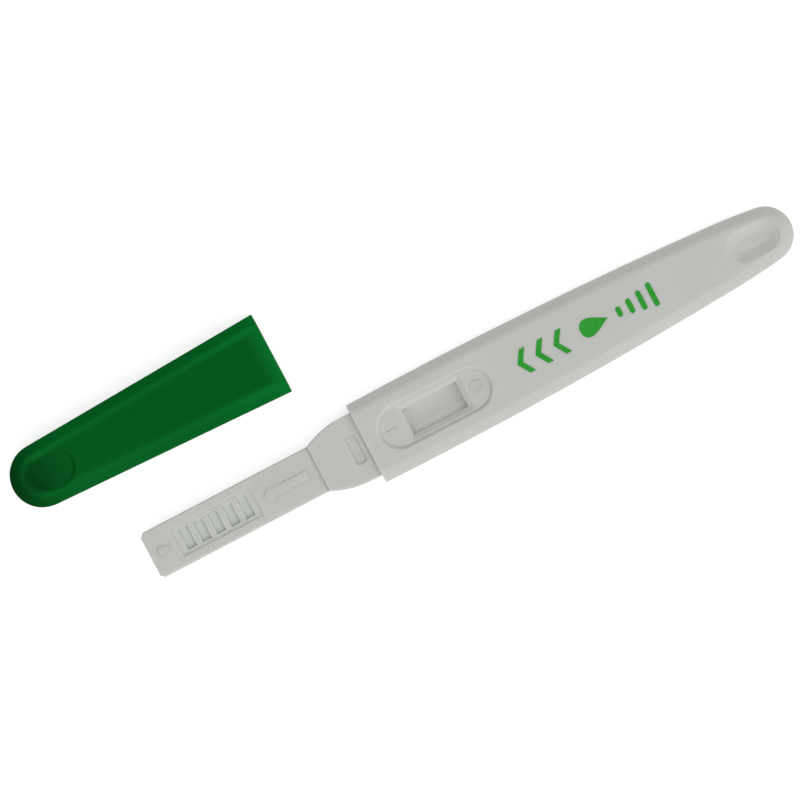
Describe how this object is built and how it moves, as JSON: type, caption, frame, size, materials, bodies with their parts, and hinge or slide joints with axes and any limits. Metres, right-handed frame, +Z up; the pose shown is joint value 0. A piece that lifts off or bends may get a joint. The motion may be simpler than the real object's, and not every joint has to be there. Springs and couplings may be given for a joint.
{
  "type": "ovulation midstream test",
  "caption": "Slim moulded midstream test with a slotted sample tip, a recessed result window, a finger dimple and a tapered pull-off cap lying beside it.",
  "frame": {"origin": "on the flat underside of the housing, straight below the middle of the result window", "axes": "+X along the stick from the slotted tip to the round end of the handle, +Z up through the result window, +Y to the side where the cap lies"},
  "size_m": [0.1623, 0.0424, 0.0086],
  "materials": {
    "cap_green": "satin, slightly translucent green moulded plastic",
    "housing_white": "satin white moulded plastic",
    "wick_fibre": "white pressed fibre",
    "glass_fibre": "thin glass fibre mat",
    "membrane_white": "smooth white membrane",
    "cotton_paper": "thick blotting paper",
    "card_white": "thin white plastic card"
  },
  "bodies": {
    "root": {"cap": "cap_green", "upper_shell": "housing_white", "lower_shell": "housing_white", "sample_wick": "wick_fibre", "conjugate_pad": "glass_fibre", "membrane": "membrane_white", "absorbent_pad": "cotton_paper", "backing_card": "card_white"}
  },
  "joints": []
}
